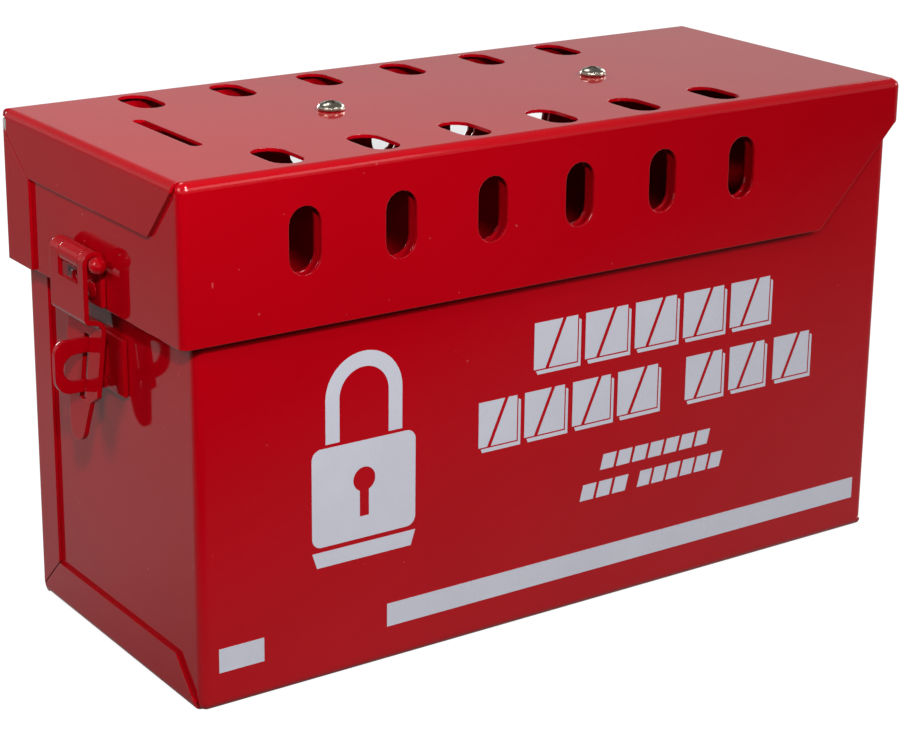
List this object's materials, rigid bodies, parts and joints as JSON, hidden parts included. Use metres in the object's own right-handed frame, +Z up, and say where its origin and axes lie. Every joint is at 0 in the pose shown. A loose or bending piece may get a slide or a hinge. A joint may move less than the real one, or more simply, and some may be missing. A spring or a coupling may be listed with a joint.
{
  "type": "group lock box",
  "caption": "Folded sheet steel lock box with a slip-over lid hinged at one end, padlock slots, a key slot and a hasp over a fixed staple.",
  "frame": {"origin": "centre of the body's underside", "axes": "+X to the hinge end, -X to the hasp end, -Y to the front, +Z up through the lid"},
  "size_m": [0.2687, 0.1066, 0.1528],
  "materials": {
    "red_paint": "glossy powder coat",
    "bright_steel": "zinc plated"
  },
  "bodies": {
    "box": {"body_shell": "red_paint", "hinge_body_leaf": "red_paint", "hinge_pin": "bright_steel", "hinge_body_rivet_1": "bright_steel", "hinge_body_rivet_2": "bright_steel", "hinge_body_rivet_3": "bright_steel", "staple_base_plate": "red_paint", "staple_eye": "red_paint"},
    "lid": {"lid_shell": "red_paint", "hinge_lid_leaf": "red_paint", "hinge_lid_rivet_1": "bright_steel", "hinge_lid_rivet_2": "bright_steel", "hinge_lid_rivet_3": "bright_steel", "hasp_lid_leaf": "red_paint", "hasp_leaf_rivet_1": "red_paint", "hasp_leaf_rivet_2": "red_paint", "hasp_pin": "red_paint", "lid_screw_1": "bright_steel", "lid_screw_2": "bright_steel", "lid_washer_1": "bright_steel", "lid_washer_2": "bright_steel", "lid_nut_1": "bright_steel", "lid_nut_2": "bright_steel"},
    "hasp": {"hasp_strap": "red_paint"}
  },
  "joints": [
    {"name": "lid_hinge", "type": "hinge", "parent": "box", "child": "lid", "pos_m": [0.12575, 0, 0.1337], "axis": [0, 1, 0], "range_deg": [0, 160]},
    {"name": "hasp_hinge", "type": "hinge", "parent": "lid", "child": "hasp", "pos_m": [-0.13115, 0, 0.1196], "axis": [0, 1, 0], "range_deg": [0, 170]}
  ]
}
